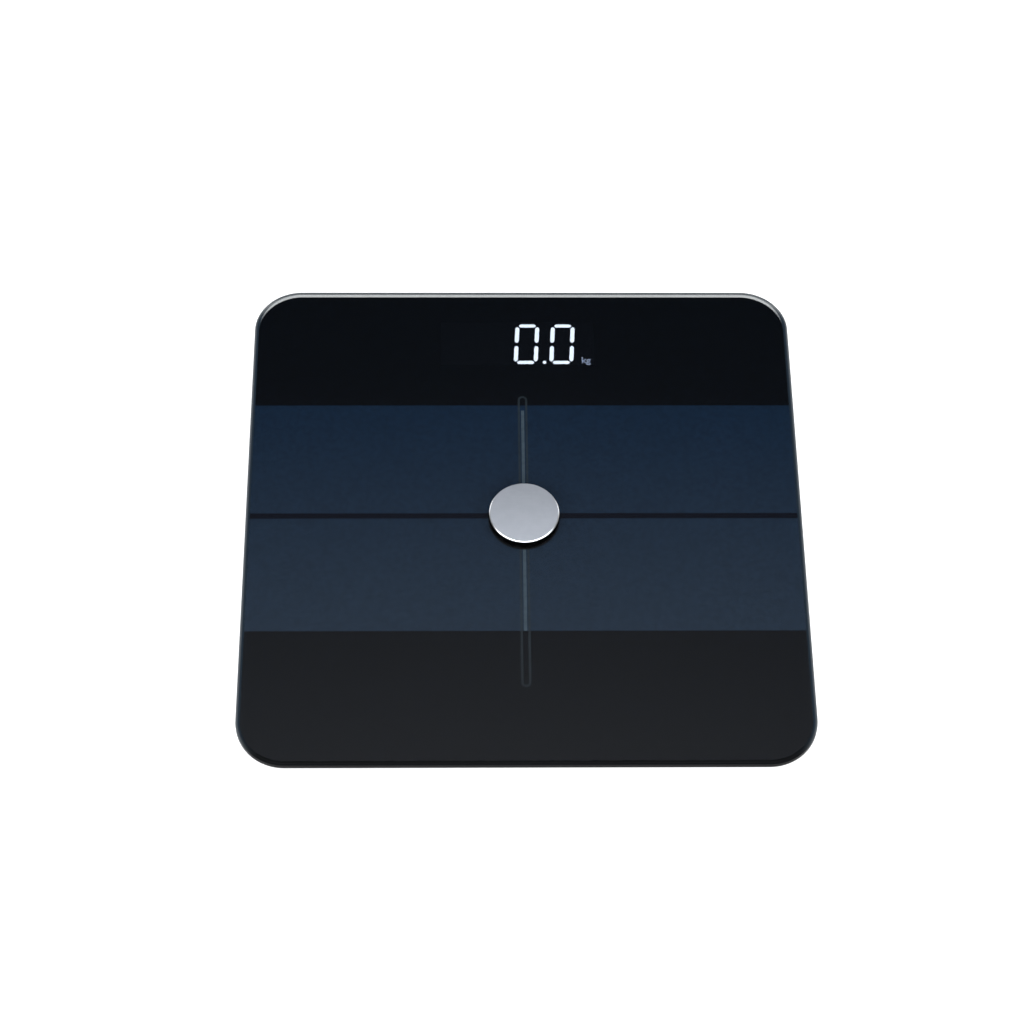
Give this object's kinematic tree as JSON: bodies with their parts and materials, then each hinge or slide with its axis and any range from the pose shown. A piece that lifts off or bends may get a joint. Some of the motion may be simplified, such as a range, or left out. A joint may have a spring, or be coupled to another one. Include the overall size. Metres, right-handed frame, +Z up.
{
  "type": "digital bathroom scale",
  "caption": "Square glass-topped digital bathroom scale with a hidden light-emitting display, a metal centre disc, load-cell feet and a battery bay under a black tray.",
  "frame": {"origin": "on the floor under the middle of the glass platform", "axes": "+Z up through the platform, +Y towards the display end, +X to the right of a user standing at the -Y side and facing the display"},
  "size_m": [0.3, 0.3, 0.0283],
  "materials": {
    "platform_glass": "clear tempered sheet with polished edges, printed black and blue from below",
    "black_print": "black ink behind the glass",
    "blue_print": "blue-grey conductive band behind the glass",
    "lit_segment": "lit light-emitting segment",
    "satin_metal": "fine satin face with a polished bevel",
    "foam": "black closed-cell foam tape",
    "tray_plastic": "black moulded tray with a fine spark texture",
    "foot_plastic": "black moulded cup and button",
    "foot_rubber": "dark grey non-slip pad",
    "cell_steel": "punched spring steel plate",
    "white_plastic": "natural moulded plastic",
    "board_laminate": "green solder-masked circuit board",
    "display_plastic": "black moulded plastic",
    "nickel": "nickel-plated spring steel",
    "chip_resin": "moulded chip resin",
    "shield_tin": "tinned shield can",
    "battery_sleeve": "printed sleeve over a steel can",
    "grey_lead": "grey insulated multi-core lead",
    "black_lead": "black insulated lead",
    "red_lead": "red insulated lead"
  },
  "bodies": {
    "platform": {"glass_platform": "platform_glass", "printed_film": "black_print", "bonding_tape": "foam", "centre_disc": "satin_metal", "disc_adhesive_pad": "foam", "base_tray": "tray_plastic", "load_cell_front_left": "cell_steel", "load_cell_holder_front_left": "white_plastic", "load_cell_front_right": "cell_steel", "load_cell_holder_front_right": "white_plastic", "load_cell_rear_left": "cell_steel", "load_cell_holder_rear_left": "white_plastic", "load_cell_rear_right": "cell_steel", "load_cell_holder_rear_right": "white_plastic", "main_board": "board_laminate", "display_module": "display_plastic", "display_gasket": "foam", "board_screw_front_left": "nickel", "board_screw_front_right": "nickel", "board_screw_rear_left": "nickel", "board_screw_rear_right": "nickel", "microcontroller": "chip_resin", "radio_module": "shield_tin", "switch_body": "display_plastic", "battery_1": "battery_sleeve", "battery_2": "battery_sleeve", "battery_3": "battery_sleeve", "contact_negative": "nickel", "contact_bridge_left": "nickel", "contact_bridge_right": "nickel", "contact_positive": "nickel", "electrode_contact_front_left": "nickel", "electrode_contact_front_right": "nickel", "electrode_contact_rear_left": "nickel", "electrode_contact_rear_right": "nickel", "load_cell_cable_front_left": "grey_lead", "electrode_lead_front_left": "black_lead", "load_cell_cable_front_right": "grey_lead", "electrode_lead_front_right": "black_lead", "load_cell_cable_rear_left": "grey_lead", "electrode_lead_rear_left": "black_lead", "load_cell_cable_rear_right": "grey_lead", "electrode_lead_rear_right": "black_lead", "battery_lead_negative": "black_lead", "battery_lead_positive": "red_lead"},
    "foot_front_left": {"foot_cup_front_left": "foot_plastic", "foot_pad_front_left": "foot_rubber"},
    "foot_front_right": {"foot_cup_front_right": "foot_plastic", "foot_pad_front_right": "foot_rubber"},
    "foot_rear_left": {"foot_cup_rear_left": "foot_plastic", "foot_pad_rear_left": "foot_rubber"},
    "foot_rear_right": {"foot_cup_rear_right": "foot_plastic", "foot_pad_rear_right": "foot_rubber"},
    "battery_door": {"battery_door": "tray_plastic"},
    "unit_button": {"unit_button": "foot_plastic", "switch_plunger": "white_plastic"}
  },
  "joints": [
    {"name": "foot_front_left_press", "type": "slide", "parent": "platform", "child": "foot_front_left", "axis": [0, 0, 1], "range_m": [0, 0.0005]},
    {"name": "foot_front_right_press", "type": "slide", "parent": "platform", "child": "foot_front_right", "axis": [0, 0, 1], "range_m": [0, 0.0005]},
    {"name": "foot_rear_left_press", "type": "slide", "parent": "platform", "child": "foot_rear_left", "axis": [0, 0, 1], "range_m": [0, 0.0005]},
    {"name": "foot_rear_right_press", "type": "slide", "parent": "platform", "child": "foot_rear_right", "axis": [0, 0, 1], "range_m": [0, 0.0005]},
    {"name": "battery_door_hinge", "type": "hinge", "parent": "platform", "child": "battery_door", "pos_m": [0, 0.02085, 0.005], "axis": [-1, 0, 0], "range_deg": [0, 40]},
    {"name": "unit_button_press", "type": "slide", "parent": "platform", "child": "unit_button", "axis": [0, 0, 1], "range_m": [0, 0.0006], "stiffness_N_per_m": 2500}
  ]
}
